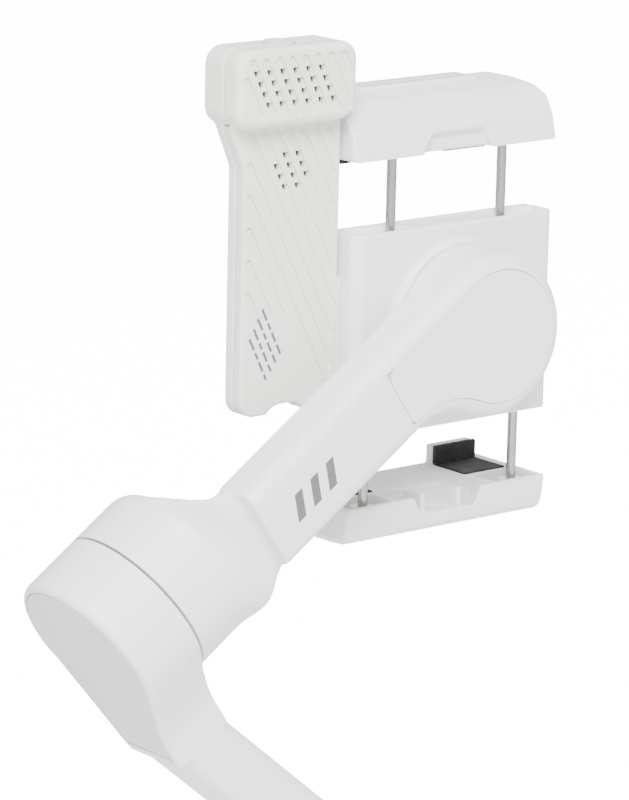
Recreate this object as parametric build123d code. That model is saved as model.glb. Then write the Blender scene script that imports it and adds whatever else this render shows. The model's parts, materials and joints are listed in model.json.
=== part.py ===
"""Three-axis phone gimbal stabilizer with a spring clamp, a clip-on tracking module and a pole handle.

Frame: the origin is the mouth of the tripod thread under the handle. +Z runs up the handle and the
pan axis, +X along the long side of the phone, and -Y is the side that the back of the phone faces.
"""
import os
from math import cos, radians, sin, sqrt

from build123d import *

# ---- overall sizes, in millimetres ----
HANDLE_LENGTH = 108.0
HANDLE_WIDTH = 34.0
HANDLE_DEPTH = 31.0
HANDLE_WALL = 2.0
BASE_CAP_HEIGHT = 8.0
CLAMP_RISE = 174.0          # centre of the clamp above the top of the handle
TILT_ANGLE = 34.5           # slope of the tilt axis below the horizontal, in degrees
TILT_AXIS_Y = 1.5

# ---- fits ----
RUNNING_CLEARANCE = 0.05    # shaft in its bearing or slide
BODY_GAP = 0.4              # between faces of bodies that move past each other
MOTOR_GAP = 0.6             # between the two halves of a motor
BUTTON_GAP = 0.35

# ---- motors ----
MOTOR_RADIUS = 17.4
HUB_RADIUS = 16.5
MOTOR_WALL = 1.9
STATOR_DEPTH = 10.0         # inside depth of the stator cup
STATOR_FLOOR = 4.0
SHAFT_RADIUS = 2.0
BEARING_RADIUS = 4.5
BEARING_WIDTH = 2.4
BOSS_WALL = 0.8
CORE_RADIUS = 10.6
CORE_INSET = 1.5
SLOT_COUNT = 12
SLOT_WIDTH = 1.5
MAGNET_THICKNESS = 1.5
MAGNET_CLEARANCE = 0.5
ROTOR_PLATE = 1.4

# ---- clamp block ----
BLOCK_WIDTH = 53.0
BLOCK_HEIGHT = 41.3
BLOCK_DEPTH = 9.2
BLOCK_WALL = 1.2
BACK_PLATE = 2.2
BLOCK_END_WALL = 2.4
SEAT_PAD_THICKNESS = 0.8
HUB_BOSS_HEIGHT = 1.4
ROD_RADIUS = 1.0
ROD_Y = -5.3
UPPER_ROD_X = 14.6
LOWER_ROD_X = 20.0
ROD_CLEARANCE = 0.08
ROD_HEAD_RADIUS = 1.9
ROD_HEAD_LENGTH = 1.5
SPRING_RADIUS = 1.75
SPRING_WIRE = 0.25
SPRING_PITCH = 2.4

# ---- jaws ----
JAW_OPENING = 70.3          # between the jaw faces as shown, with a phone of usual height
JAW_CLOSE_TRAVEL = 11.0
JAW_FRONT = 8.65
JAW_REACH = 13.0            # how far the jaws reach over the edge of the phone
LIP_START = 9.8
LIP_HEIGHT = 4.0
LIP_WIDTH = 11.0
LIP_X = 18.0
UPPER_JAW_HEIGHT = 11.3
LOWER_JAW_HEIGHT = 8.2
JAW_PAD = 0.9
LABEL_WIDTH = 31.0
LABEL_THICKNESS = 0.9

# ---- tilt arm ----
ARM_FRONT = 23.5
ARM_BACK = 13.0
ARM_LOW_EDGE = 2.5
ARM_BLEND = 14.0
TILT_GAP_ALONG = 87.0       # distance of the tilt motor's gap from the roll axis
CUP_LENGTH = 15.5
BAR_LENGTH = 66.0
FLARE_OVERLAP = 4.0         # how far the flare starts inside the bar
FLARE_INSET = 0.4
COVER_INSET = 3.0
COVER_LENGTH = 27.0
COVER_THICKNESS = 1.0
COVER_GAP = 0.15
COVER_TOP_CORNER = 3.0
COVER_LOW_CORNER = 1.1

# ---- pan arm ----
TAIL_LENGTH = 28.0
TAIL_HALF_WIDTH = 9.0
PAN_BAR_THICKNESS = 13.4
PAN_BAR_SLOPE = 40.0
END_COVER_THICKNESS = 1.2
END_COVER_INSET = 1.5
PAN_GAP_DROP = 130.0        # pan motor's gap below the clamp centre
PAN_CAP_HEIGHT = 12.0

# ---- neck and pole ----
NECK_RISE = 18.0            # fold axis of the neck above the top of the handle
NECK_PIN_RADIUS = 2.0
KNUCKLE_WIDTH = 12.0
KNUCKLE_RADIUS = 7.0
EAR_THICKNESS = 4.0
YOKE_BASE = 4.0
STAGE_RADII = (9.5, 8.3, 7.1)
STAGE_WALL = 0.8
STAGE_LENGTH = 72.0
STAGE_STEP = 0.8
GUIDE_RADIUS = 10.7
GUIDE_WALL = 0.8
COLLAR_HEIGHT = 3.0
COLLAR_RIM = 0.5            # small enough to clear the motor when the neck is folded

# ---- handle fittings ----
THREAD_RADIUS = 3.175
THREAD_DEPTH = 6.0
INSERT_RADIUS = 5.0
PANEL_DROP = 26.0           # the controls are placed down from the top of the handle
PANEL_HEIGHT = 40.0
PANEL_WIDTH = 23.0
PANEL_THICKNESS = 1.6
STICK_DROP = 18.0
STICK_RADIUS = 5.5
STICK_BOWL_RADIUS = 7.6
STICK_TOP = 4.0
SHUTTER_DROP = 35.0
BUTTON_RADIUS = 4.0
BUTTON_RISE = 0.9
POWER_DROP = 56.0
POWER_RADIUS = 3.2
SOCKET_X = (-4.7, 4.7)
SOCKET_Z = (18.0, 21.8)
TRIGGER_DROP = 24.0
TRIGGER_HEIGHT = 22.0
TRIGGER_WIDTH = 11.0
TRIGGER_PIN_RADIUS = 1.0
TRIGGER_PIN_Y = -14.4
TRIGGER_INSIDE_Y = -13.0    # inner face, clear of the pole guide when pulled
TRIGGER_PIN_INSET = 3.0     # from the top end of the trigger down to its pin

# ---- tracking module ----
MODULE_RIGHT = -28.2
MODULE_WIDTH = 24.0
MODULE_FRONT = -5.6
MODULE_BACK = -0.4
MODULE_TOP = 46.0
MODULE_BOTTOM = -13.5
HEAD_LEFT = -57.3
HEAD_RIGHT = -27.5
HEAD_BOTTOM = 44.5
HEAD_TOP = 59.8
HEAD_FRONT = -9.9
HEAD_SEAM = -5.0
HEAD_BACK = 1.0
HEAD_CORNER = 3.6
HEAD_WALL = 1.5
MODULE_CORNER = 3.5
SHOULDER_REACH = 4.0        # how far the body widens under the head
SHOULDER_BOTTOM = 36.0
MODULE_BUTTON_RADIUS = 3.2
MODULE_BUTTON_Y = -3.4
MODULE_BUTTON_RISE = 0.3
MODULE_BUTTON_DEPTH = 0.8
DIFFUSER_THICKNESS = 1.2
DIFFUSER_WIDTH = 16.0

# ---- places worked out from the sizes above ----
CLAMP_HEIGHT = HANDLE_LENGTH + CLAMP_RISE
NECK_AXIS_Z = HANDLE_LENGTH + NECK_RISE
PANEL_Z = HANDLE_LENGTH - PANEL_DROP
STICK_Z = HANDLE_LENGTH - STICK_DROP
SHUTTER_Z = HANDLE_LENGTH - SHUTTER_DROP
POWER_Z = HANDLE_LENGTH - POWER_DROP
TRIGGER_Z = HANDLE_LENGTH - TRIGGER_DROP
TOP = Pos(0, 0, CLAMP_HEIGHT)
TILT = radians(TILT_ANGLE)
ALONG = Vector(-cos(TILT), 0, -sin(TILT))
ACROSS = Vector(sin(TILT), 0, -cos(TILT))
CENTRE = Vector(0, 0, CLAMP_HEIGHT)
BLOCK_FRONT = -BLOCK_DEPTH
ROLL_GAP_Y = BLOCK_FRONT - HUB_BOSS_HEIGHT - MOTOR_GAP / 2
ROLL_PLANE = Plane(origin=(0, ROLL_GAP_Y, CLAMP_HEIGHT), x_dir=(1, 0, 0), z_dir=(0, 1, 0))
ARM_PLANE = Plane(origin=CENTRE, x_dir=ALONG, z_dir=(0, -1, 0))
TILT_POINT = CENTRE + ALONG * TILT_GAP_ALONG + Vector(0, TILT_AXIS_Y, 0)
TILT_PLANE = Plane(origin=TILT_POINT, x_dir=ACROSS, z_dir=-ALONG)
PAN_GAP_Z = CLAMP_HEIGHT - PAN_GAP_DROP
PAN_PLANE = Plane(origin=(0, 0, PAN_GAP_Z), x_dir=(1, 0, 0), z_dir=(0, 0, 1))
STATOR_END = MOTOR_GAP / 2 + STATOR_DEPTH + STATOR_FLOOR
UPPER_FACE = JAW_OPENING / 2
TRIGGER_PIN_Z = TRIGGER_Z + TRIGGER_HEIGHT / 2 - TRIGGER_PIN_INSET
GUIDE_BOTTOM = HANDLE_LENGTH - STAGE_LENGTH - 2.0
LOW = (Align.CENTER, Align.CENTER, Align.MIN)


def box(x, y, z):
    """A box from three (low, high) pairs."""
    size = Box(x[1] - x[0], y[1] - y[0], z[1] - z[0])
    return Pos((x[0] + x[1]) / 2, (y[0] + y[1]) / 2, (z[0] + z[1]) / 2) * size


def rod(radius, start, end, at=(0, 0)):
    """An upright cylinder between two heights."""
    return Pos(at[0], at[1], start) * Cylinder(radius, end - start, align=LOW)


def tube(outer, inner, start, end):
    return rod(outer, start, end) - rod(inner, start, end)


def y_rod(radius, start, end, x, z):
    """A cylinder along Y between two depths."""
    plane = Plane(origin=(x, start, z), x_dir=(1, 0, 0), z_dir=(0, 1, 0))
    return plane * Cylinder(radius, end - start, align=LOW)


def x_rod(radius, half_length, y, z):
    """A cylinder along X, centred on X = 0."""
    plane = Plane(origin=(-half_length, y, z), x_dir=(0, 1, 0), z_dir=(1, 0, 0))
    return plane * Cylinder(radius, 2 * half_length, align=LOW)


def rounded(x, y, z, radius):
    """An upright box with rounded vertical edges."""
    shape = box(x, y, z)
    return fillet(shape.edges().filter_by(Axis.Z), radius)


def outline(*points):
    """A flat face through the points, always facing the same way."""
    area = 0.0
    for first, second in zip(points, points[1:] + points[:1]):
        area += first[0] * second[1] - second[0] * first[1]
    ordered = points if area > 0 else points[::-1]
    return Polygon(*ordered, align=None)


def save(shape, name):
    export_step(shape, f"parts/{name}.step")


def grouped(shapes):
    return Compound(children=list(shapes))


# ---------------------------------------------------------------- motors
def motor_cup(radius):
    """Stator-side cup below the gap: outer wall, floor and the bearing boss."""
    start = -STATOR_END
    wall = rod(radius, start, -MOTOR_GAP / 2)
    floor_z = start + STATOR_FLOOR
    hollow = rod(radius - MOTOR_WALL, floor_z, -MOTOR_GAP / 2)
    boss = tube(BEARING_RADIUS + BOSS_WALL, BEARING_RADIUS, floor_z, -CORE_INSET)
    return wall - hollow + boss


def stator(radius):
    """Slotted core pressed over the bearing boss."""
    outer = min(CORE_RADIUS, radius - MOTOR_WALL - MAGNET_THICKNESS - 2 * MAGNET_CLEARANCE)
    low = -STATOR_END + STATOR_FLOOR + CORE_INSET
    core = tube(outer, BEARING_RADIUS + BOSS_WALL, low, -CORE_INSET)
    bore = BEARING_RADIUS + BOSS_WALL
    for index in range(SLOT_COUNT):
        slot = box((bore + 1.6, outer - 0.9), (-SLOT_WIDTH / 2, SLOT_WIDTH / 2), (low, -CORE_INSET))
        core = core - Rot(0, 0, 360 / SLOT_COUNT * index) * slot
    return core


def bearings():
    floor_z = -STATOR_END + STATOR_FLOOR
    inner = SHAFT_RADIUS + RUNNING_CLEARANCE
    low = tube(BEARING_RADIUS, inner, floor_z, floor_z + BEARING_WIDTH)
    high = tube(BEARING_RADIUS, inner, -CORE_INSET - BEARING_WIDTH, -CORE_INSET)
    return [low, high]


def rotor(radius):
    """Rotor plate with its shaft."""
    edge = radius - MOTOR_WALL
    plate = rod(edge, MOTOR_GAP / 2, MOTOR_GAP / 2 + ROTOR_PLATE)
    shaft = rod(SHAFT_RADIUS, -STATOR_END + STATOR_FLOOR + MAGNET_CLEARANCE, MOTOR_GAP / 2)
    return plate + shaft


def magnets(radius):
    outer = radius - MOTOR_WALL - MAGNET_CLEARANCE
    low = -STATOR_END + STATOR_FLOOR + 2 * CORE_INSET
    return tube(outer, outer - MAGNET_THICKNESS, low, MOTOR_GAP / 2)


def save_motor(name, plane, radius):
    save(plane * stator(radius), f"{name}_stator")
    save(grouped([plane * ring for ring in bearings()]), f"{name}_bearings")
    save(plane * rotor(radius), f"{name}_rotor")
    save(plane * magnets(radius), f"{name}_magnets")


# ---------------------------------------------------------------- tilt arm
def arm_outline(inset, bar_end):
    """Hub disc and bar in the arm's plane, drawn in by an inset; the bar runs along local X."""
    hub = HUB_RADIUS - inset
    low_edge = ARM_LOW_EDGE - inset
    blend = ARM_BLEND + inset
    middle_y = low_edge + blend
    middle_x = sqrt((hub + blend) ** 2 - middle_y ** 2)
    share = hub / (hub + blend)
    touch = (middle_x * share, middle_y * share)
    turn = radians(75)
    between = (middle_x - blend * cos(turn), middle_y - blend * sin(turn))
    upper = Line((0, -hub), (bar_end, -hub))
    end = Line((bar_end, -hub), (bar_end, low_edge))
    lower = Line((bar_end, low_edge), (middle_x, low_edge))
    inward = ThreePointArc((middle_x, low_edge), between, touch)
    round_hub = ThreePointArc(touch, (-hub, 0), (0, -hub))
    return make_face([upper, end, lower, inward, round_hub])


def section(along, half_across, half_deep, across, depth):
    """One oval cross-section of the arm's flare, square to the tilt axis; depth runs along -Y."""
    plane = Plane(origin=CENTRE + ALONG * along, x_dir=ACROSS, z_dir=ALONG)
    return plane * (Pos(across, depth) * Ellipse(half_across, half_deep))


def flare():
    """Change from the flat bar to the round motor cup."""
    half_across = (HUB_RADIUS + ARM_LOW_EDGE) / 2 - FLARE_INSET
    half_deep = (ARM_FRONT - ARM_BACK) / 2 - FLARE_INSET
    across = (ARM_LOW_EDGE - HUB_RADIUS) / 2
    depth = (ARM_FRONT + ARM_BACK) / 2
    narrow = section(BAR_LENGTH - FLARE_OVERLAP, half_across, half_deep, across, depth)
    wide = section(TILT_GAP_ALONG - CUP_LENGTH, MOTOR_RADIUS, MOTOR_RADIUS, 0, -TILT_AXIS_Y)
    return loft([narrow, wide])


def tilt_arm_shell():
    bar = ARM_PLANE * (Pos(0, 0, ARM_BACK) * extrude(arm_outline(0, BAR_LENGTH), ARM_FRONT - ARM_BACK))
    hub_end = ROLL_GAP_Y - MOTOR_GAP / 2
    hub = y_rod(HUB_RADIUS, -ARM_FRONT, hub_end, 0, CLAMP_HEIGHT)
    lip = MOTOR_GAP / 2 + ROTOR_PLATE
    cup = TILT_PLANE * rod(MOTOR_RADIUS, MOTOR_GAP / 2, CUP_LENGTH)
    arm = bar + hub + flare() + cup
    arm = arm - TILT_PLANE * rod(MOTOR_RADIUS - MOTOR_WALL, 0, lip)
    floor_y = hub_end - STATOR_DEPTH
    arm = arm - y_rod(HUB_RADIUS - MOTOR_WALL, floor_y, hub_end, 0, CLAMP_HEIGHT)
    boss = y_rod(BEARING_RADIUS + BOSS_WALL, floor_y, ROLL_GAP_Y - CORE_INSET, 0, CLAMP_HEIGHT)
    bore = y_rod(BEARING_RADIUS, floor_y, ROLL_GAP_Y - CORE_INSET, 0, CLAMP_HEIGHT)
    recess_start = ARM_FRONT - COVER_THICKNESS
    recess = cover_blank(COVER_GAP, COVER_THICKNESS + 1)
    return arm + (boss - bore) - ARM_PLANE * (Pos(0, 0, recess_start) * recess)


def cover_blank(grow, thickness):
    """Slab with the outline of the hub cover, grown by a gap, with its two far corners rounded."""
    skin = extrude(arm_outline(COVER_INSET - grow, COVER_LENGTH + grow), thickness)
    far = skin.edges().filter_by(Axis.Z).sort_by(Axis.X)[-2:].sort_by(Axis.Y)
    skin = fillet(far[0], COVER_TOP_CORNER + grow)
    far = skin.edges().filter_by(Axis.Z).sort_by(Axis.X)[-1]
    return fillet(far, COVER_LOW_CORNER)


def hub_cover():
    return ARM_PLANE * (Pos(0, 0, ARM_FRONT - COVER_THICKNESS) * cover_blank(0, COVER_THICKNESS))


# ---------------------------------------------------------------- pan arm
def teardrop(radius, tail_end, half_width):
    """Round motor outline with a tail along local X, in a plane square to the tilt axis."""
    tail = Pos(tail_end / 2, 0) * Rectangle(tail_end, 2 * half_width)
    shoulder = outline((0, radius), (tail_end, half_width), (tail_end, -half_width), (0, -radius))
    return Circle(radius) + tail + shoulder


def pan_bar():
    """Bar from the tail of the tilt housing down to the cap of the pan motor."""
    slope = radians(PAN_BAR_SLOPE)
    run = Vector(cos(slope), 0, -sin(slope))
    side = Vector(sin(slope), 0, cos(slope)) * (PAN_BAR_THICKNESS / 2)
    housing_middle = TILT_GAP_ALONG + (STATOR_END + MOTOR_GAP / 2) / 2
    bend = CENTRE + ALONG * housing_middle + ACROSS * TAIL_LENGTH
    tail_side = ALONG * -(PAN_BAR_THICKNESS / 2)
    start = CENTRE + ALONG * housing_middle + ACROSS * (TAIL_LENGTH * 0.5)
    foot = bend + run * (-bend.X / cos(slope))
    corners = [start + tail_side, bend + (tail_side + side) * 0.5, foot + side, foot - side,
               bend - (tail_side + side) * 0.5, start - tail_side]
    plane = Plane(origin=(0, TAIL_HALF_WIDTH + TILT_AXIS_Y, 0), x_dir=(1, 0, 0), z_dir=(0, -1, 0))
    face = outline(*[(corner.X, corner.Z) for corner in corners])
    return plane * extrude(face, 2 * TAIL_HALF_WIDTH)


def pan_arm_shell():
    body = TILT_PLANE * motor_cup(MOTOR_RADIUS)
    solid_length = STATOR_END - MOTOR_GAP / 2
    drop = extrude(teardrop(MOTOR_RADIUS, TAIL_LENGTH + 2, TAIL_HALF_WIDTH), solid_length)
    drop = Pos(0, 0, -STATOR_END) * drop - rod(MOTOR_RADIUS - 0.2, -STATOR_END, 0)
    cap = rod(MOTOR_RADIUS, PAN_GAP_Z + MOTOR_GAP / 2, PAN_GAP_Z + PAN_CAP_HEIGHT)
    lip = MOTOR_GAP / 2 + ROTOR_PLATE
    seat = rod(MOTOR_RADIUS - MOTOR_WALL, PAN_GAP_Z, PAN_GAP_Z + lip)
    hollow = TILT_PLANE * rod(MOTOR_RADIUS - MOTOR_WALL, -STATOR_END + STATOR_FLOOR, 0)
    below = rod(2 * MOTOR_RADIUS, 0, PAN_GAP_Z + MOTOR_GAP / 2)
    arm = pan_bar() - hollow - below + cap - seat
    recess = extrude(teardrop(MOTOR_RADIUS - END_COVER_INSET, TAIL_LENGTH, TAIL_HALF_WIDTH - END_COVER_INSET),
                     END_COVER_THICKNESS)
    return body + TILT_PLANE * drop + arm - TILT_PLANE * (Pos(0, 0, -STATOR_END) * recess)


def tilt_end_cover():
    inset = END_COVER_INSET + COVER_GAP
    face = teardrop(MOTOR_RADIUS - inset, TAIL_LENGTH - COVER_GAP, TAIL_HALF_WIDTH - inset)
    return TILT_PLANE * (Pos(0, 0, -STATOR_END) * extrude(face, END_COVER_THICKNESS))


# ---------------------------------------------------------------- neck and pole
def stage_top(index):
    """Height of the rim of one pole stage; the first is the widest."""
    return HANDLE_LENGTH + COLLAR_HEIGHT + BODY_GAP + STAGE_STEP * (index + 1)


def pole_stage(index):
    """One pole tube with a plain rim; the handle's guide holds the widest."""
    radius = STAGE_RADII[index]
    top = stage_top(index)
    return tube(radius, radius - STAGE_WALL, top - STAGE_LENGTH, top)


def neck_yoke():
    base_z = stage_top(2)
    base = rod(STAGE_RADII[2] + 1.4, base_z, base_z + YOKE_BASE)
    outer = KNUCKLE_WIDTH / 2 + BODY_GAP + EAR_THICKNESS
    yoke = base
    for side in (-1, 1):
        inner_x = side * (KNUCKLE_WIDTH / 2 + BODY_GAP)
        span = sorted((inner_x, side * outer))
        ear = box(span, (-KNUCKLE_RADIUS + 1, KNUCKLE_RADIUS - 1), (base_z + YOKE_BASE / 2, NECK_AXIS_Z))
        at_pin = Pos(sum(span) / 2, 0, NECK_AXIS_Z) * Rot(0, 90, 0)
        disc = at_pin * Cylinder(KNUCKLE_RADIUS - 1, EAR_THICKNESS)
        yoke = yoke + ear + disc
    spigot = rod(STAGE_RADII[2] - STAGE_WALL, base_z - YOKE_BASE, base_z)
    return yoke + spigot - x_rod(NECK_PIN_RADIUS, outer, 0, NECK_AXIS_Z)


def neck_knuckle():
    half = KNUCKLE_WIDTH / 2
    eye = x_rod(KNUCKLE_RADIUS - 1.2, half, 0, NECK_AXIS_Z)
    top = PAN_GAP_Z - STATOR_END
    stem = box((-half, half), (-KNUCKLE_RADIUS + 1.2, KNUCKLE_RADIUS - 1.2), (NECK_AXIS_Z, top))
    bore = x_rod(NECK_PIN_RADIUS + RUNNING_CLEARANCE, half, 0, NECK_AXIS_Z)
    return eye + stem - bore


def save_neck_and_pole():
    for index in range(len(STAGE_RADII)):
        save(pole_stage(index), f"pole_stage_{index + 1}")
    save(neck_yoke(), "neck_yoke")
    save(x_rod(NECK_PIN_RADIUS, KNUCKLE_WIDTH / 2 + BODY_GAP + EAR_THICKNESS, 0, NECK_AXIS_Z), "neck_pin")
    save(neck_knuckle(), "neck_knuckle")
    save(PAN_PLANE * motor_cup(MOTOR_RADIUS), "pan_motor_housing")


# ---------------------------------------------------------------- clamp
def clamp_block_front():
    half_x = BLOCK_WIDTH / 2
    half_z = BLOCK_HEIGHT / 2
    shell = box((-half_x, half_x), (BLOCK_FRONT, -BACK_PLATE), (-half_z, half_z))
    front_edges = shell.edges().filter_by(Axis.Z).group_by(Axis.Y)[0]
    shell = chamfer(front_edges, 1.8)
    cavity_x = half_x - 2 * BLOCK_WALL
    cavity_z = half_z - BLOCK_END_WALL
    shell = shell - box((-cavity_x, cavity_x), (BLOCK_FRONT + BLOCK_WALL, -BACK_PLATE), (-cavity_z, cavity_z))
    for side in (-1, 1):
        for rod_x, end in ((UPPER_ROD_X, 1), (LOWER_ROD_X, -1)):
            wall = sorted((end * (cavity_z - 1), end * (half_z + 1)))
            shell = shell - rod(ROD_RADIUS + ROD_CLEARANCE, wall[0], wall[1], (side * rod_x, ROD_Y))
        for end in (-1, 1):
            pocket_x = sorted((side * (UPPER_ROD_X - 3.4), side * (half_x - 2.0)))
            pocket_z = sorted((end * (half_z - 1.1), end * (half_z + 1)))
            shell = shell - box(pocket_x, (ROD_Y - 2.4, ROD_Y + 2.2), pocket_z)
    boss = y_rod(HUB_RADIUS + 0.6, BLOCK_FRONT - HUB_BOSS_HEIGHT, BLOCK_FRONT, 0, 0)
    inside = y_rod(HUB_RADIUS - MOTOR_WALL, BLOCK_FRONT - HUB_BOSS_HEIGHT, BLOCK_FRONT, 0, 0)
    return TOP * (shell + boss - inside)


def clamp_block_back():
    half_x = BLOCK_WIDTH / 2
    half_z = BLOCK_HEIGHT / 2
    plate = box((-half_x, half_x), (-BACK_PLATE, 0), (-half_z, half_z))
    plate = fillet(plate.edges().filter_by(Axis.Y), 1.0)
    recess = box((-half_x + 4, half_x - 4), (-SEAT_PAD_THICKNESS, 0), (-half_z + 4, half_z - 4))
    return TOP * (plate - recess)


def seat_pad():
    half_x = BLOCK_WIDTH / 2 - 4
    half_z = BLOCK_HEIGHT / 2 - 4
    return TOP * box((-half_x, half_x), (-SEAT_PAD_THICKNESS, 0), (-half_z, half_z))


def rod_head_z():
    """Inner face of a rod head at rest, measured from the clamp centre towards its jaw."""
    return -BLOCK_HEIGHT / 2 + BLOCK_END_WALL + JAW_CLOSE_TRAVEL + ROD_HEAD_LENGTH + BODY_GAP


def jaw_rod(x, side):
    """Steel rod with its head; side is +1 for the upper jaw and -1 for the lower."""
    head = side * rod_head_z()
    tip = side * (UPPER_FACE + 4.0)
    low, high = sorted((head, tip))
    shank = rod(ROD_RADIUS, low, high, (x, ROD_Y))
    low, high = sorted((head, head - side * ROD_HEAD_LENGTH))
    return TOP * (shank + rod(ROD_HEAD_RADIUS, low, high, (x, ROD_Y)))


def jaw_spring(x, side):
    """Coil spring between the rod head and the end wall of the block."""
    length = BLOCK_HEIGHT / 2 - BLOCK_END_WALL - rod_head_z() - 2 * SPRING_WIRE - 0.4
    path = Helix(SPRING_PITCH, length, SPRING_RADIUS)
    wire = Plane(origin=path @ 0, z_dir=path % 0) * Circle(SPRING_WIRE)
    coil = sweep(wire, path=path, is_frenet=True)
    start = rod_head_z() + SPRING_WIRE + 0.2
    if side < 0:
        start = -start - length
    return TOP * (Pos(x, ROD_Y, start) * coil)


def jaw_body(side, height, slope):
    """Jaw bar across the clamp; the face towards the phone is at half the opening."""
    half_x = BLOCK_WIDTH / 2
    face = UPPER_FACE
    back = -JAW_FRONT
    profile = [(back, face), (back + slope * 0.15, face + height * 0.45),
               (back + slope * 0.45, face + height * 0.78), (back + slope, face + height * 0.93),
               (back + slope + 5, face + height), (JAW_REACH - 1.2, face + height),
               (JAW_REACH, face + height - 1.5), (JAW_REACH, face)]
    plane = Plane(origin=(-half_x, 0, 0), x_dir=(0, 1, 0), z_dir=(1, 0, 0))
    bar = plane * extrude(outline(*profile), BLOCK_WIDTH)
    ends = bar.faces().filter_by(Axis.X)
    bar = chamfer(ends.edges().group_by(Axis.Z)[-1], 1.2)
    for x in (-LIP_X, LIP_X):
        lip_x = (x - LIP_WIDTH / 2, x + LIP_WIDTH / 2)
        bar = bar + box(lip_x, (LIP_START + JAW_PAD, JAW_REACH), (face - LIP_HEIGHT, face + 1))
        bar = bar - box(lip_x, (0.6, LIP_START + JAW_PAD), (face - 1, face + JAW_PAD))
    return bar if side > 0 else mirror(bar, about=Plane.XY)


def notch(low_x, high_x, depth):
    """Tapered finger notch along the edge of a jaw's front wall."""
    face = outline((-9.6, UPPER_FACE - 1), (low_x, UPPER_FACE + depth), (high_x, UPPER_FACE + depth),
                   (9.8, UPPER_FACE - 1))
    plane = Plane(origin=(0, -JAW_FRONT + 2.0, 0), x_dir=(1, 0, 0), z_dir=(0, -1, 0))
    return plane * extrude(face, 4)


def upper_jaw_shell():
    jaw = jaw_body(1, UPPER_JAW_HEIGHT, 7.4) - notch(-6.0, 7.5, 3.8)
    for x in (-UPPER_ROD_X, UPPER_ROD_X):
        jaw = jaw - rod(ROD_RADIUS, UPPER_FACE, UPPER_FACE + 4.0, (x, ROD_Y))
    return TOP * jaw


def lower_jaw_shell():
    jaw = jaw_body(-1, LOWER_JAW_HEIGHT, 2.2) - mirror(notch(-6.4, 7.8, 3.8), about=Plane.XY)
    deep = -UPPER_FACE - 5.0
    pockets = [(-25.0, -24.0 + 10.2), (-12.4, -5.6), (-4.2, 4.2), (5.6, 12.4), (13.8, 25.0)]
    for low_x, high_x in pockets:
        jaw = jaw - box((low_x, high_x), (-JAW_FRONT + 1.3, -0.7), (deep, -UPPER_FACE + 1))
    for x in (-LOWER_ROD_X, LOWER_ROD_X):
        boss = rod(2.5, deep - 0.5, -UPPER_FACE - 0.6, (x, ROD_Y + 0.2))
        jaw = jaw + boss - rod(ROD_RADIUS, -UPPER_FACE - 4.0, -UPPER_FACE, (x, ROD_Y))
    for x in (-16.3, 12.6):
        jaw = jaw - y_rod(0.7, -JAW_FRONT - 1, -JAW_FRONT + 1.2, x, -UPPER_FACE - LOWER_JAW_HEIGHT + 2.2)
    return TOP * jaw


def jaw_pads(side):
    pads = []
    for x in (-LIP_X, LIP_X):
        pad_x = (x - LIP_WIDTH / 2, x + LIP_WIDTH / 2)
        low, high = sorted((side * (UPPER_FACE - LIP_HEIGHT), side * UPPER_FACE))
        pads.append(TOP * box(pad_x, (LIP_START, LIP_START + JAW_PAD), (low, high)))
        low, high = sorted((side * (UPPER_FACE - 0.2), side * (UPPER_FACE + JAW_PAD)))
        pads.append(TOP * box(pad_x, (0.6, LIP_START - 0.1), (low, high)))
    return grouped(pads)


def jaw_label():
    top = UPPER_FACE + UPPER_JAW_HEIGHT
    half = LABEL_WIDTH / 2
    low_y = -JAW_FRONT + 7.4 + 5.2
    plate = box((-half, half), (low_y, JAW_REACH - 2.2), (top, top + LABEL_THICKNESS))
    upper_edges = plate.edges().group_by(Axis.Z)[-1]
    return TOP * chamfer(upper_edges, LABEL_THICKNESS * 0.6)


def save_clamp():
    save(clamp_block_front(), "clamp_block_front")
    save(clamp_block_back(), "clamp_block_back")
    save(seat_pad(), "seat_pad")
    save(upper_jaw_shell(), "upper_jaw_shell")
    save(lower_jaw_shell(), "lower_jaw_shell")
    save(jaw_label(), "jaw_label_plate")
    for side, rod_x, name in ((1, UPPER_ROD_X, "upper_jaw"), (-1, LOWER_ROD_X, "lower_jaw")):
        save(grouped([jaw_rod(-rod_x, side), jaw_rod(rod_x, side)]), f"{name}_rods")
        save(grouped([jaw_spring(-rod_x, side), jaw_spring(rod_x, side)]), f"{name}_springs")
        save(jaw_pads(side), f"{name}_pads")


# ---------------------------------------------------------------- tracking module
def module_outline():
    left = MODULE_RIGHT - MODULE_WIDTH
    body = Pos((left + MODULE_RIGHT) / 2, (MODULE_TOP + MODULE_BOTTOM) / 2) * Rectangle(
        MODULE_WIDTH, MODULE_TOP - MODULE_BOTTOM)
    body = fillet(body.vertices().group_by(Axis.Y)[0], MODULE_CORNER)
    scoop = Pos(left + 11.5, MODULE_BOTTOM) * Ellipse(4.6, 1.8)
    shoulder = outline((left - SHOULDER_REACH, HEAD_BOTTOM + 1), (left, SHOULDER_BOTTOM),
                       (left + 1, SHOULDER_BOTTOM), (left + 1, HEAD_BOTTOM + 1))
    return body + shoulder - scoop


def head_block(low_y, high_y):
    shape = box((HEAD_LEFT, HEAD_RIGHT), (low_y, high_y), (HEAD_BOTTOM, HEAD_TOP))
    return fillet(shape.edges().filter_by(Axis.Y), HEAD_CORNER)


def module_plate(low_y, high_y):
    plane = Plane(origin=(0, high_y, 0), x_dir=(1, 0, 0), z_dir=(0, -1, 0))
    return plane * extrude(module_outline(), high_y - low_y)


def module_button(radius, low, high):
    """Round bar on the axis of the button in the top of the head."""
    middle = (HEAD_LEFT + HEAD_RIGHT) / 2
    return Pos(middle, MODULE_BUTTON_Y, 0) * rod(radius, HEAD_TOP + low, HEAD_TOP + high)


def module_button_hole():
    return module_button(MODULE_BUTTON_RADIUS + BUTTON_GAP, -2 * HEAD_WALL, HEAD_WALL)


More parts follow.
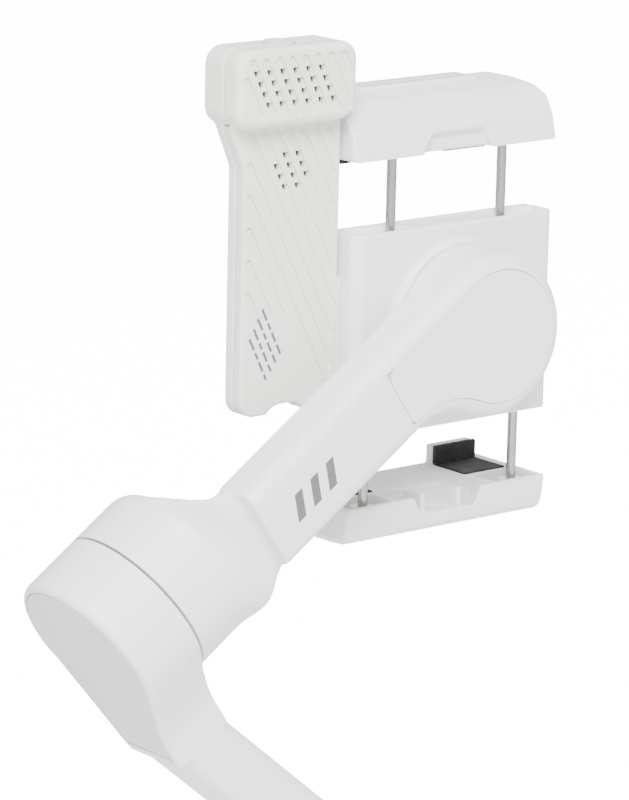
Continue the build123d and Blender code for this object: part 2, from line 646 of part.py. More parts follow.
def module_front_shell():
    seam = (MODULE_FRONT + MODULE_BACK) / 2
    head = head_block(HEAD_FRONT, HEAD_SEAM)
    front_edges = head.edges().group_by(Axis.Y)[0]
    head = fillet(front_edges, 1.6)
    hollow = box((HEAD_LEFT + HEAD_WALL, HEAD_RIGHT - HEAD_WALL), (HEAD_FRONT + HEAD_WALL, HEAD_SEAM),
                 (MODULE_TOP + 0.6, HEAD_TOP - HEAD_WALL))
    plate = module_plate(MODULE_FRONT, seam) - box((HEAD_LEFT, 0), (HEAD_SEAM, 0), (HEAD_BOTTOM, HEAD_TOP))
    return TOP * (head - hollow + plate - module_button_hole())


def module_back_shell():
    seam = (MODULE_FRONT + MODULE_BACK) / 2
    head = head_block(HEAD_SEAM, HEAD_BACK)
    hollow = box((HEAD_LEFT + HEAD_WALL, HEAD_RIGHT - HEAD_WALL), (HEAD_SEAM, HEAD_BACK),
                 (HEAD_BOTTOM + HEAD_WALL, HEAD_TOP - HEAD_WALL))
    plate = module_plate(seam, MODULE_BACK)
    well = box((MODULE_RIGHT - MODULE_WIDTH + 5, MODULE_RIGHT - 8), (seam, MODULE_BACK - 1), (-4, 34))
    tongue = box((MODULE_RIGHT, -BLOCK_WIDTH / 2), (-5.0, MODULE_BACK), (-12, 12))
    return TOP * (head - hollow - module_button_hole() + (plate - well) + (tongue - magnet_row()))


def magnet_row():
    magnet_x = (-BLOCK_WIDTH / 2 - 1.2, -BLOCK_WIDTH / 2)
    return Part() + [box(magnet_x, (-4.2, -1.4), (z - 2.5, z + 2.5)) for z in (-6.0, 6.0)]


def save_module():
    inner_x = (HEAD_LEFT + HEAD_WALL, HEAD_RIGHT - HEAD_WALL)
    inner_z = (HEAD_BOTTOM + HEAD_WALL, HEAD_TOP - HEAD_WALL)
    split = inner_x[0] + DIFFUSER_WIDTH
    pane_y = (HEAD_BACK - DIFFUSER_THICKNESS, HEAD_BACK)
    save(module_front_shell(), "module_front_shell")
    save(module_back_shell(), "module_back_shell")
    save(TOP * box((inner_x[0], split), pane_y, inner_z), "module_light_diffuser")
    window = box((split, inner_x[1]), pane_y, inner_z)
    lens_x = (split + inner_x[1]) / 2
    lens_z = (inner_z[0] + inner_z[1]) / 2
    lens_hole = y_rod(2.6, pane_y[0] - 1, pane_y[1] + 1, lens_x, lens_z)
    save(TOP * (window - lens_hole), "module_sensor_window")
    save(TOP * y_rod(2.6, pane_y[0] - 2.2, pane_y[1], lens_x, lens_z), "module_lens")
    board_y = (HEAD_BACK - DIFFUSER_THICKNESS - 4.2, HEAD_BACK - DIFFUSER_THICKNESS - 3.0)
    save(TOP * box(inner_x, board_y, inner_z), "module_board")
    save(grouped(TOP * solid for solid in magnet_row().solids()), "module_magnets")
    button = module_button(MODULE_BUTTON_RADIUS, -MODULE_BUTTON_DEPTH, MODULE_BUTTON_RISE)
    save(TOP * button, "module_power_button")


# ---------------------------------------------------------------- handle
def handle_solid(inset, low, high):
    width = HANDLE_WIDTH / 2 - inset
    depth = HANDLE_DEPTH / 2 - inset
    return rounded((-width, width), (-depth, depth), (low, high), 12.0 - inset)


def handle_hollow():
    return handle_solid(HANDLE_WALL, BASE_CAP_HEIGHT, HANDLE_LENGTH - HANDLE_WALL)


def panel_cut(extra):
    """Opening for the control panel in the user's side of the handle."""
    depth = HANDLE_DEPTH / 2
    half = PANEL_WIDTH / 2 + extra
    tall = PANEL_HEIGHT / 2 + extra
    return box((-half, half), (depth - PANEL_THICKNESS, depth + 2), (PANEL_Z - tall, PANEL_Z + tall))


def handle_shell(side):
    """One half of the handle casing; side +1 faces the user."""
    casing = handle_solid(0, BASE_CAP_HEIGHT, HANDLE_LENGTH) - handle_hollow()
    casing = casing - rod(GUIDE_RADIUS, HANDLE_LENGTH - 3, HANDLE_LENGTH + 1)
    span = sorted((0, side * HANDLE_DEPTH))
    casing = casing & box((-HANDLE_WIDTH, HANDLE_WIDTH), span, (0, HANDLE_LENGTH))
    if side > 0:
        casing = casing - panel_cut(0) - panel_cut(-1.4).moved(Pos(0, -HANDLE_WALL, 0))
        casing = casing - y_rod(POWER_RADIUS + BUTTON_GAP, 10, HANDLE_DEPTH, 0, POWER_Z)
        casing = casing - box(SOCKET_X, (10, HANDLE_DEPTH), SOCKET_Z)
    else:
        half = TRIGGER_WIDTH / 2 + BUTTON_GAP
        slot_z = (TRIGGER_Z - TRIGGER_HEIGHT / 2 - BUTTON_GAP, TRIGGER_Z + TRIGGER_HEIGHT / 2 + BUTTON_GAP)
        casing = casing - box((-half, half), (-HANDLE_DEPTH, -10), slot_z)
        casing = casing - x_rod(TRIGGER_PIN_RADIUS, half + 2.5, TRIGGER_PIN_Y, TRIGGER_PIN_Z)
    return casing


def handle_base():
    cap = handle_solid(0, 0, BASE_CAP_HEIGHT)
    cap = chamfer(cap.edges().group_by(Axis.Z)[0], 1.5)
    return cap - rod(INSERT_RADIUS, 0, THREAD_DEPTH)


def control_panel():
    """Panel with a bowl opening for the thumb stick and holes for two buttons."""
    depth = HANDLE_DEPTH / 2
    half = PANEL_WIDTH / 2 - COVER_GAP
    tall = PANEL_HEIGHT / 2 - COVER_GAP
    panel = rounded_panel(half, tall, depth)
    panel = panel - y_rod(STICK_BOWL_RADIUS, depth - 3, depth + 2, 0, STICK_Z)
    for x in (-5.5, 5.5):
        panel = panel - y_rod(BUTTON_RADIUS + BUTTON_GAP, depth - 3, depth + 2, x, SHUTTER_Z)
    return panel


def rounded_panel(half, tall, depth):
    panel = box((-half, half), (depth - PANEL_THICKNESS, depth + 0.8), (PANEL_Z - tall, PANEL_Z + tall))
    return fillet(panel.edges().filter_by(Axis.Y), 3.0)


def panel_button(x):
    depth = HANDLE_DEPTH / 2
    face = y_rod(BUTTON_RADIUS, depth - 1.5, depth + 0.8 + BUTTON_RISE, x, SHUTTER_Z)
    return fillet(face.edges().group_by(Axis.Y)[-1], 0.5)


def stick_cradle():
    """Small square frame under the stick that carries its side-to-side pivot."""
    depth = HANDLE_DEPTH / 2 - 3.1
    frame = box((-3.4, 3.4), (depth - 1.0, depth), (STICK_Z - 3.4, STICK_Z + 3.4))
    return frame - y_rod(1.6, depth - 2, depth + 1, 0, STICK_Z)


def joystick():
    depth = HANDLE_DEPTH / 2
    stem = y_rod(1.2, depth - 4.0, depth + 2.6, 0, STICK_Z)
    cap = y_rod(STICK_RADIUS, depth + 2.4, depth + STICK_TOP, 0, STICK_Z)
    cap = fillet(cap.edges().group_by(Axis.Y)[-1], 0.7)
    dish = y_rod(3.6, depth + STICK_TOP - 0.4, depth + STICK_TOP + 1, 0, STICK_Z)
    return cap - dish + stem


def trigger():
    half = TRIGGER_WIDTH / 2
    tall = TRIGGER_HEIGHT / 2
    back = -HANDLE_DEPTH / 2
    pad = box((-half, half), (back - 3.0, TRIGGER_INSIDE_Y), (TRIGGER_Z - tall, TRIGGER_Z + tall))
    pad = fillet(pad.edges().group_by(Axis.Y)[0], 2.2)
    scoop = Plane(origin=(-half - 1, back - 13.5, TRIGGER_Z), x_dir=(0, 1, 0), z_dir=(1, 0, 0)) * Cylinder(
        11.5, 2 * half + 2, align=LOW)
    bore = x_rod(TRIGGER_PIN_RADIUS + RUNNING_CLEARANCE, half + 1, TRIGGER_PIN_Y, TRIGGER_PIN_Z)
    return pad - scoop - bore


def usb_socket():
    """Charging socket: a metal sleeve with its tongue."""
    depth = HANDLE_DEPTH / 2
    sleeve = box(SOCKET_X, (depth - 6, depth - 0.5), SOCKET_Z)
    middle = (SOCKET_Z[0] + SOCKET_Z[1]) / 2
    mouth = box((SOCKET_X[0] + 0.6, SOCKET_X[1] - 0.6), (depth - 5, depth), (middle - 1.3, middle + 1.3))
    tongue = box((-3.2, 3.2), (depth - 5, depth - 1.2), (middle - 0.35, middle + 0.35))
    return sleeve - mouth + tongue


def save_handle():
    save(handle_shell(1), "handle_front_shell")
    save(handle_shell(-1), "handle_back_shell")
    save(handle_base(), "handle_base")
    insert = tube(INSERT_RADIUS, THREAD_RADIUS, 0, THREAD_DEPTH)
    save(insert, "tripod_insert")
    save(tube(GUIDE_RADIUS, GUIDE_RADIUS - GUIDE_WALL, GUIDE_BOTTOM, HANDLE_LENGTH), "pole_guide")
    collar_top = HANDLE_LENGTH + COLLAR_HEIGHT
    collar = tube(GUIDE_RADIUS + COLLAR_RIM, STAGE_RADII[0] + BODY_GAP, HANDLE_LENGTH, collar_top)
    save(collar, "pole_collar")
    save(rod(9.2, BASE_CAP_HEIGHT, GUIDE_BOTTOM - 1.0), "battery_cell")
    board = box((-8, 8), (-12.2, -11.0), (BASE_CAP_HEIGHT, TRIGGER_Z - TRIGGER_HEIGHT / 2 - 4))
    save(board, "control_board")
    save(control_panel(), "control_panel")
    for x, name in ((-5.5, "shutter_button"), (5.5, "mode_button")):
        save(panel_button(x), name)
    save(stick_cradle(), "joystick_cradle")
    save(joystick(), "joystick")
    save(trigger(), "trigger")
    save(x_rod(TRIGGER_PIN_RADIUS, TRIGGER_WIDTH / 2 + 2.5, TRIGGER_PIN_Y, TRIGGER_PIN_Z), "trigger_pin")
    power = y_rod(POWER_RADIUS, 12.5, HANDLE_DEPTH / 2 + 0.8, 0, POWER_Z)
    save(fillet(power.edges().group_by(Axis.Y)[-1], 0.4), "power_button")
    save(usb_socket(), "usb_socket")


os.makedirs("parts", exist_ok=True)
save_handle()
save_neck_and_pole()
save_motor("pan", PAN_PLANE, MOTOR_RADIUS)
save(pan_arm_shell(), "pan_arm_shell")
save(tilt_end_cover(), "tilt_end_cover")
save_motor("tilt", TILT_PLANE, MOTOR_RADIUS)
save(tilt_arm_shell(), "tilt_arm_shell")
save(hub_cover(), "hub_cover")
save_motor("roll", ROLL_PLANE, HUB_RADIUS)
save_clamp()
save_module()
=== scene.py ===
"""Looks of the phone gimbal: moulded shells, ribbed tracking module, metal rods and studio light."""
import json
from math import atan2, ceil, cos, degrees, pi, radians, sin, sqrt

import bmesh
import bpy
from mathutils import Matrix, Vector


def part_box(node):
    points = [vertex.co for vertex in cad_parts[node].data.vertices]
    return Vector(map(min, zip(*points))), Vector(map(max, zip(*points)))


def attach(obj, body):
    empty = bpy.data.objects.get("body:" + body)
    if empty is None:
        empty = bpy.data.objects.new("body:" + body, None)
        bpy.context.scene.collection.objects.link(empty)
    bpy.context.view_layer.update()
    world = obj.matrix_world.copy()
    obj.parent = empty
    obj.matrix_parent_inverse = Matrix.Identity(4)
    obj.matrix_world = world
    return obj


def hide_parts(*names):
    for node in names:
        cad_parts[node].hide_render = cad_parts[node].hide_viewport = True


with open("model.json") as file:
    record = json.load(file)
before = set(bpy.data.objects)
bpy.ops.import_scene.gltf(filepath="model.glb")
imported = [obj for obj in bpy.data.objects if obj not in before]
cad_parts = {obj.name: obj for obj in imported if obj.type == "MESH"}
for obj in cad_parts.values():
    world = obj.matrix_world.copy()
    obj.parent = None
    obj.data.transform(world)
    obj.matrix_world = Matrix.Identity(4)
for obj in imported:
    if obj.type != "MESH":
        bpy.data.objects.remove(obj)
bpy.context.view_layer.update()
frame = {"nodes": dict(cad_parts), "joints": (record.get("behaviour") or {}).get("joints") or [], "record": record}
NODES = frame["nodes"]
MM = 0.001

# ---- places read from the frame, in millimetres ----
MOUNTS = {mount["name"]: mount for mount in frame["record"]["mounts"]}
JOINTS = {joint["name"]: joint for joint in frame["joints"]}
CENTRE = Vector(MOUNTS["phone_seat"]["pos_m"]) / MM
ALONG = Vector(JOINTS["tilt_turn"]["axis"]).normalized()
ACROSS = Vector((-ALONG.z, 0, ALONG.x))
TILT_POINT = Vector(JOINTS["tilt_turn"]["pos_m"]) / MM
TILT_GAP = (TILT_POINT - CENTRE).dot(ALONG)
TILT_DEPTH = -(TILT_POINT - CENTRE).y
PAN_GAP_Z = JOINTS["pan_turn"]["pos_m"][2] / MM
FRONT = Vector((0, -1, 0))


def node_box(name):
    low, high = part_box(name)
    return low / MM, high / MM


# ---- shape sizes, in millimetres ----
MOTOR_RADIUS = 17.4
MOTOR_WALL = 1.9
MOTOR_GAP_HALF = 0.3
ROTOR_SEAT = 1.75
HUB_RADIUS = (node_box("roll_rotor")[1].x - node_box("roll_rotor")[0].x) / 2 + MOTOR_WALL
HUB_BACK = 11.2
ARM_FRONT_INSET = 0.06
ARM_FRONT = -node_box("tilt_arm_shell")[0].y - ARM_FRONT_INSET
ARM_BACK = 13.0
ARM_FRONT_FILLET = 3.0
ARM_BACK_FILLET = 1.6
ARM_LOW_EDGE = 2.5
ARM_BLEND = 14.0
BAR_END = 66.0
FLARE_START = 61.0
COVER_INSET = 3.0
COVER_LENGTH = 27.0
COVER_GAP = 0.15
COVER_THICKNESS = 1.0
CUP_LENGTH = 15.5
CUP_SHOULDER = 4.5
STATOR_FLOOR = 4.0
STATOR_END = 14.3
HOUSING_FILLET = 1.4
TAIL_LENGTH = 28.0
TAIL_HALF = 9.0
S_CURVE_END = 25.0
END_COVER_INSET = 1.4
END_COVER_THICKNESS = 1.2
END_COVER_FILLET = 0.35
PAN_BAR_HALF = 6.7
PAN_SLOPE = radians(40.0)
PAN_CAP = 12.0
PAN_CAP_FILLET = 1.5

# ---- how the meshes are made ----
FILLET_STEPS = 6
ROUND_SIDES = 96
SMALL_ROUND_SIDES = 24
ARM_VOXEL = 0.5
TRIM_ALLOWANCE = 3      # extra length, taken off by a flat cut after softening
CUTTER_EXCESS = 2       # how far a recess cutter stands out of the face
POCKET_EXCESS = 1       # how far a pocket cutter stands out of its mouth
PRINT_RISE = 0.03       # how far printed marks stand above their surface


# ---------------------------------------------------------------- materials
def material(name, colour, roughness, metallic=0.0):
    """A material with a principled shader; returns its node tools."""
    made = bpy.data.materials.new(name)
    made.use_nodes = True
    shader = made.node_tree.nodes["Principled BSDF"]
    shader.inputs["Base Color"].default_value = (*colour, 1)
    shader.inputs["Roughness"].default_value = roughness
    shader.inputs["Metallic"].default_value = metallic
    return made, made.node_tree.nodes, made.node_tree.links, shader


def noise(nodes, links, scale, detail=3.0, stretch=(1, 1, 1)):
    """Noise over the object's own coordinates."""
    place = nodes.new("ShaderNodeTexCoord")
    mapping = nodes.new("ShaderNodeMapping")
    mapping.inputs["Scale"].default_value = stretch
    links.new(place.outputs["Object"], mapping.inputs["Vector"])
    texture = nodes.new("ShaderNodeTexNoise")
    texture.inputs["Scale"].default_value = scale
    texture.inputs["Detail"].default_value = detail
    links.new(mapping.outputs["Vector"], texture.inputs["Vector"])
    return texture


def tint(nodes, links, shader, factor, dark, light):
    """Colour that drifts between two near tones."""
    ramp = nodes.new("ShaderNodeValToRGB")
    ramp.color_ramp.elements[0].position = 0.3
    ramp.color_ramp.elements[1].position = 0.7
    ramp.color_ramp.elements[0].color = (*dark, 1)
    ramp.color_ramp.elements[1].color = (*light, 1)
    links.new(factor, ramp.inputs["Fac"])
    links.new(ramp.outputs["Color"], shader.inputs["Base Color"])


def bump(nodes, links, shader, height, strength, distance):
    relief = nodes.new("ShaderNodeBump")
    relief.inputs["Strength"].default_value = strength
    relief.inputs["Distance"].default_value = distance
    links.new(height, relief.inputs["Height"])
    links.new(relief.outputs["Normal"], shader.inputs["Normal"])


def rough_range(nodes, links, shader, factor, low, high):
    spread = nodes.new("ShaderNodeMapRange")
    spread.inputs["To Min"].default_value = low
    spread.inputs["To Max"].default_value = high
    links.new(factor, spread.inputs["Value"])
    links.new(spread.outputs["Result"], shader.inputs["Roughness"])


def moulded(name, colour, roughness, grain=0.12):
    """Satin moulded plastic: fine spark-etched grain and a very slight drift in tone."""
    made, nodes, links, shader = material(name, colour, roughness)
    shader.inputs["Specular IOR Level"].default_value = 0.42
    drift = noise(nodes, links, 45.0, 2.0)
    tint(nodes, links, shader, drift.outputs["Fac"], [c * 0.975 for c in colour], colour)
    etch = noise(nodes, links, 5200.0, 2.0)
    bump(nodes, links, shader, etch.outputs["Fac"], grain, 0.00006)
    patches = noise(nodes, links, 160.0, 3.0)
    rough_range(nodes, links, shader, patches.outputs["Fac"], roughness - 0.05, roughness + 0.06)
    return made


def rubber(name, colour):
    made, nodes, links, shader = material(name, colour, 0.8)
    shader.inputs["Specular IOR Level"].default_value = 0.3
    dust = noise(nodes, links, 300.0, 4.0)
    tint(nodes, links, shader, dust.outputs["Fac"], colour, [c * 1.5 + 0.004 for c in colour])
    pores = noise(nodes, links, 3000.0, 3.0)
    bump(nodes, links, shader, pores.outputs["Fac"], 0.3, 0.0001)
    return made


def metal(name, colour, roughness, stretch):
    """Drawn or turned metal: fine lines stretched one way."""
    made, nodes, links, shader = material(name, colour, roughness, 1.0)
    lines = noise(nodes, links, 900.0, 4.0, stretch)
    tint(nodes, links, shader, lines.outputs["Fac"], [c * 0.8 for c in colour], colour)
    rough_range(nodes, links, shader, lines.outputs["Fac"], roughness * 0.7, roughness * 1.3)
    bump(nodes, links, shader, lines.outputs["Fac"], 0.15, 0.00005)
    return made


def lens_glass(name):
    made, nodes, links, shader = material(name, (0.012, 0.014, 0.03), 0.06)
    shader.inputs["Coat Weight"].default_value = 1.0
    shader.inputs["Coat Roughness"].default_value = 0.02
    sheen = noise(nodes, links, 200.0, 1.0)
    tint(nodes, links, shader, sheen.outputs["Fac"], (0.008, 0.01, 0.03), (0.03, 0.02, 0.05))
    return made


def frosted(name):
    """Light diffuser with small moulded pyramids."""
    made, nodes, links, shader = material(name, (0.86, 0.86, 0.83), 0.35)
    shader.inputs["Subsurface Weight"].default_value = 0.2
    shader.inputs["Subsurface Radius"].default_value = (0.002, 0.002, 0.002)
    place = nodes.new("ShaderNodeTexCoord")
    cells = nodes.new("ShaderNodeTexVoronoi")
    cells.inputs["Scale"].default_value = 900.0
    cells.inputs["Randomness"].default_value = 0.0
    links.new(place.outputs["Object"], cells.inputs["Vector"])
    bump(nodes, links, shader, cells.outputs["Distance"], 0.5, 0.0004)
    drift = noise(nodes, links, 90.0, 2.0)
    tint(nodes, links, shader, drift.outputs["Fac"], (0.82, 0.82, 0.79), (0.88, 0.88, 0.86))
    return made


MATERIALS = {
    "white_shell": moulded("white_moulding", (0.80, 0.805, 0.79), 0.42),
    "module_shell": moulded("warm_white_moulding", (0.755, 0.75, 0.70), 0.46),
    "grey_cover": moulded("pale_grey_moulding", (0.62, 0.63, 0.61), 0.45),
    "dark_rubber": rubber("dark_rubber", (0.022, 0.023, 0.025)),
    "steel": metal("drawn_steel", (0.42, 0.41, 0.395), 0.26, (1, 1, 0.12)),
    "aluminium_tube": metal("satin_aluminium", (0.72, 0.73, 0.74), 0.36, (1, 1, 0.1)),
    "brass": metal("turned_brass", (0.72, 0.52, 0.24), 0.3, (0.2, 0.2, 1)),
    "circuit_board": moulded("solder_mask", (0.02, 0.12, 0.05), 0.4, 0.3),
    "cell_wrap": moulded("shrink_wrap", (0.06, 0.14, 0.32), 0.25, 0.05),
    "winding": metal("enamelled_copper", (0.62, 0.26, 0.10), 0.35, (0.2, 1, 1)),
    "magnet": metal("nickel_plate", (0.62, 0.61, 0.58), 0.2, (1, 1, 1)),
    "diffuser": frosted("frosted_diffuser"),
    "dark_window": moulded("dark_window", (0.012, 0.012, 0.014), 0.12, 0.02),
    "lens": lens_glass("coated_lens"),
    "grey_button": moulded("grey_button", (0.20, 0.205, 0.21), 0.5, 0.2),
    "label": moulded("label_face", (0.78, 0.80, 0.83), 0.38, 0.05),
}
INK = moulded("grey_ink", (0.115, 0.125, 0.13), 0.5, 0.05)
BLUE_INK = moulded("blue_grey_ink", (0.30, 0.36, 0.48), 0.5, 0.05)
# near-black material of the painted shade at the bottom of the vent holes
PAINTED_VENT_SHADE = moulded("vent_shadow", (0.06, 0.06, 0.055), 0.8, 0.1)
SLOTS = {part["node"]: part["material_slot"] for part in frame["record"]["subparts"]}


def paint_frame():
    """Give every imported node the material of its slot."""
    for name, node in NODES.items():
        node.data.materials.clear()
        node.data.materials.append(MATERIALS[SLOTS[name]])


# ---------------------------------------------------------------- mesh tools
def make_object(name, points, faces):
    """Mesh object from points in millimetres."""
    mesh = bpy.data.meshes.new(name)
    mesh.from_pydata([tuple(Vector(point) * MM) for point in points], [], faces)
    shape = bpy.data.objects.new(name, mesh)
    bpy.context.scene.collection.objects.link(shape)
    tidy = bmesh.new()
    tidy.from_mesh(mesh)
    bmesh.ops.recalc_face_normals(tidy, faces=tidy.faces)
    tidy.to_mesh(mesh)
    tidy.free()
    return shape


def loft(name, rings):
    """Closed skin over rings with the same number of points."""
    count = len(rings[0])
    points = [point for ring in rings for point in ring]
    faces = [tuple(range(count))[::-1]]
    for ring in range(len(rings) - 1):
        for index in range(count):
            after = (index + 1) % count
            low = ring * count
            faces.append((low + index, low + after, low + count + after, low + count + index))
    last = (len(rings) - 1) * count
    faces.append(tuple(range(last, last + count)))
    return make_object(name, points, faces)


def arc(centre, radius, start, finish, steps):
    """Points along an arc, angles in degrees."""
    points = []
    for step in range(steps + 1):
        angle = radians(start + (finish - start) * step / steps)
        points.append((centre[0] + radius * cos(angle), centre[1] + radius * sin(angle)))
    return points


def place(plane, x, y, depth):
    """A point of a local plane; plane is (origin, x direction, y direction, depth direction)."""
    origin, x_dir, y_dir, out = plane
    return origin + x_dir * x + y_dir * y + out * depth


def moulding(name, plane, outline, low, high, fillet, back_fillet=0.0):
    """Prism of an outline(inset) function with its front and back edges rounded."""
    rings = []
    if back_fillet:
        for step in range(FILLET_STEPS):
            angle = pi / 2 * step / FILLET_STEPS
            inset = back_fillet * (1 - sin(angle))
            depth = low + back_fillet * (1 - cos(angle))
            rings.append([place(plane, x, y, depth) for x, y in outline(inset)])
    else:
        rings.append([place(plane, x, y, low) for x, y in outline(0)])
    for step in range(FILLET_STEPS + 1):
        angle = pi / 2 * step / FILLET_STEPS
        inset = fillet * (1 - cos(angle))
        depth = high - fillet + fillet * sin(angle)
        rings.append([place(plane, x, y, depth) for x, y in outline(inset)])
    return loft(name, rings)


def face_prism(name, ring, depths):
    """Flat shape with the x and z of its ring, between two depths along y."""
    return loft(name, [[Vector((point.x, depth, point.z)) for point in ring] for depth in depths])


def join(name, shapes):
    """Several closed meshes as one object."""
    merged = bmesh.new()
    for shape in shapes:
        merged.from_mesh(shape.data)
        bpy.data.objects.remove(shape)
    mesh = bpy.data.meshes.new(name)
    merged.to_mesh(mesh)
    merged.free()
    result = bpy.data.objects.new(name, mesh)
    bpy.context.scene.collection.objects.link(result)
    return result


def applied(shape):
    """Turn the modifiers of a shape into its mesh."""
    graph = bpy.context.evaluated_depsgraph_get()
    mesh = bpy.data.meshes.new_from_object(shape.evaluated_get(graph))
    shape.modifiers.clear()
    shape.data = mesh
    return shape


def soften(shape, voxel, rounds):
    """Melt a mesh into one skin and round its edges like a moulding."""
    melt = shape.modifiers.new("melt", "REMESH")
    melt.mode = "VOXEL"
    melt.voxel_size = voxel * MM
    rounding = shape.modifiers.new("ease", "SMOOTH")
    rounding.factor = 0.5
    rounding.iterations = rounds
    return applied(shape)


def cut(shape, cutters):
    """Take cutter meshes away from a shape."""
    tool = join("cutter", cutters)
    carve = shape.modifiers.new("carve", "BOOLEAN")
    carve.operation = "DIFFERENCE"
    carve.solver = "EXACT"
    carve.object = tool
    applied(shape)
    bpy.data.objects.remove(tool)
    return shape


def slice_off(shape, point, normal):
    """Flat cut that removes what lies beyond a plane."""
    knife = bmesh.new()
    knife.from_mesh(shape.data)
    everything = knife.verts[:] + knife.edges[:] + knife.faces[:]
    made = bmesh.ops.bisect_plane(knife, geom=everything, plane_co=Vector(point) * MM,
                                  plane_no=normal, clear_outer=True)
    rim = [item for item in made["geom_cut"] if isinstance(item, bmesh.types.BMEdge)]
    bmesh.ops.holes_fill(knife, edges=rim)
    knife.to_mesh(shape.data)
    knife.free()
    return shape


def finish_piece(shape, name, paint, body, slot, *nodes, crease=35):
    """Name, shade, paint and attach a finished piece."""
    shape.name = name
    shape.data.name = name
    shape.data.polygons.foreach_set("use_smooth", [True] * len(shape.data.polygons))
    shape.data.set_sharp_from_angle(angle=radians(crease))
    shape.data.materials.clear()
    shape.data.materials.append(paint)
    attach(shape, body)
    if nodes:
        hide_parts(*nodes)
    return shape


def copy_of(node):
    """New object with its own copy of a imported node's mesh."""
    shape = bpy.data.objects.new("copy", NODES[node].data.copy())
    bpy.context.scene.collection.objects.link(shape)
    return shape


def cylinder(centre, axis, radius, low, high, segments=ROUND_SIDES, fillet=0.0):
    """Round bar along any axis, with rounded ends if asked."""
    axis = Vector(axis).normalized()
    side = axis.orthogonal().normalized()
    plane = (Vector(centre), side, axis.cross(side), axis)

    def outline(inset):
        return arc((0, 0), radius - inset, 0, 360 - 360 / segments, segments - 1)

    return moulding("cylinder", plane, outline, low, high, fillet, fillet)


def slab(low, high):
    """Plain box between two corners, used as a cutter or strip."""
    corners = [(x, y, z) for x in (low[0], high[0]) for y in (low[1], high[1]) for z in (low[2], high[2])]
    faces = [(0, 1, 3, 2), (4, 6, 7, 5), (0, 4, 5, 1), (2, 3, 7, 6), (0, 2, 6, 4), (1, 5, 7, 3)]
    return make_object("slab", corners, faces)


# ---------------------------------------------------------------- tilt arm
ARM_PLANE = (CENTRE, ALONG, ACROSS, FRONT)


def arm_outline(inset, bar_end=BAR_END):
    """Hub disc and bar seen from the front, drawn in by an inset."""
    low_steps = 30
    top_steps = 20
    hub = HUB_RADIUS - inset
    low_edge = ARM_LOW_EDGE - inset
    blend = ARM_BLEND + inset
    middle_y = low_edge + blend
    middle_x = sqrt((hub + blend) ** 2 - middle_y ** 2)
    lean = degrees(atan2(middle_y, middle_x))
    points = [(bar_end * step / low_steps, -hub) for step in range(1, low_steps + 1)]
    points += [(bar_end + (middle_x - bar_end) * step / top_steps, low_edge) for step in range(top_steps)]
    points += arc((middle_x, middle_y), blend, 270, 180 + lean, 16)
    points += arc((0, 0), hub, lean, 270, 70)[1:]
    return points


def squared(value, power, half):
    """A sine or cosine as a coordinate of a rounded rectangle; a smaller power gives squarer corners."""
    return abs(value) ** power * half * (1 if value >= 0 else -1)


def oval(along, half_across, half_deep, across, depth, squareness, count=64):
    """Ring across the arm, an ellipse at squareness 2 and a rounded rectangle above it."""
    ring = []
    for step in range(count):
        angle = 2 * pi * step / count
        side = squared(cos(angle), 2 / squareness, half_across)
        deep = squared(sin(angle), 2 / squareness, half_deep)
        ring.append(place(ARM_PLANE, along, across + side, depth + deep))
    return ring


def ease(value, low, high):
    """Smooth step from 0 at low to 1 at high."""
    share = min(1.0, max(0.0, (value - low) / (high - low)))
    return share * share * (3 - 2 * share)


def flare():
    """The flat bar swells into the front of the round motor cup."""
    stations = 24
    past_gap = 2
    bar_squareness = 5
    cup_squareness = 2
    bar_half = (HUB_RADIUS + ARM_LOW_EDGE) / 2
    bar_across = (ARM_LOW_EDGE - HUB_RADIUS) / 2
    cup_front = TILT_DEPTH + MOTOR_RADIUS
    cup_back = TILT_DEPTH - MOTOR_RADIUS
    end = TILT_GAP + past_gap
    cup_start = TILT_GAP - CUP_LENGTH
    swell_span = (FLARE_START + 2, cup_start + 4)
    settle_span = (FLARE_START - 2, cup_start + 3)
    sink_span = (cup_start - 3, cup_start + 4)
    rings = []
    for step in range(stations + 1):
        along = FLARE_START + (end - FLARE_START) * step / stations
        swell = ease(along, *swell_span)
        settle = ease(along, *settle_span)
        sink = ease(along, *sink_span)
        front = ARM_FRONT + (cup_front - ARM_FRONT) * settle
        back = ARM_BACK + (cup_back - ARM_BACK) * sink
        half_across = bar_half + (MOTOR_RADIUS - bar_half) * swell
        squareness = bar_squareness - (bar_squareness - cup_squareness) * settle
        rings.append(oval(along, half_across, (front - back) / 2, bar_across * (1 - swell),
                          (front + back) / 2, squareness))
    return loft("flare", rings)


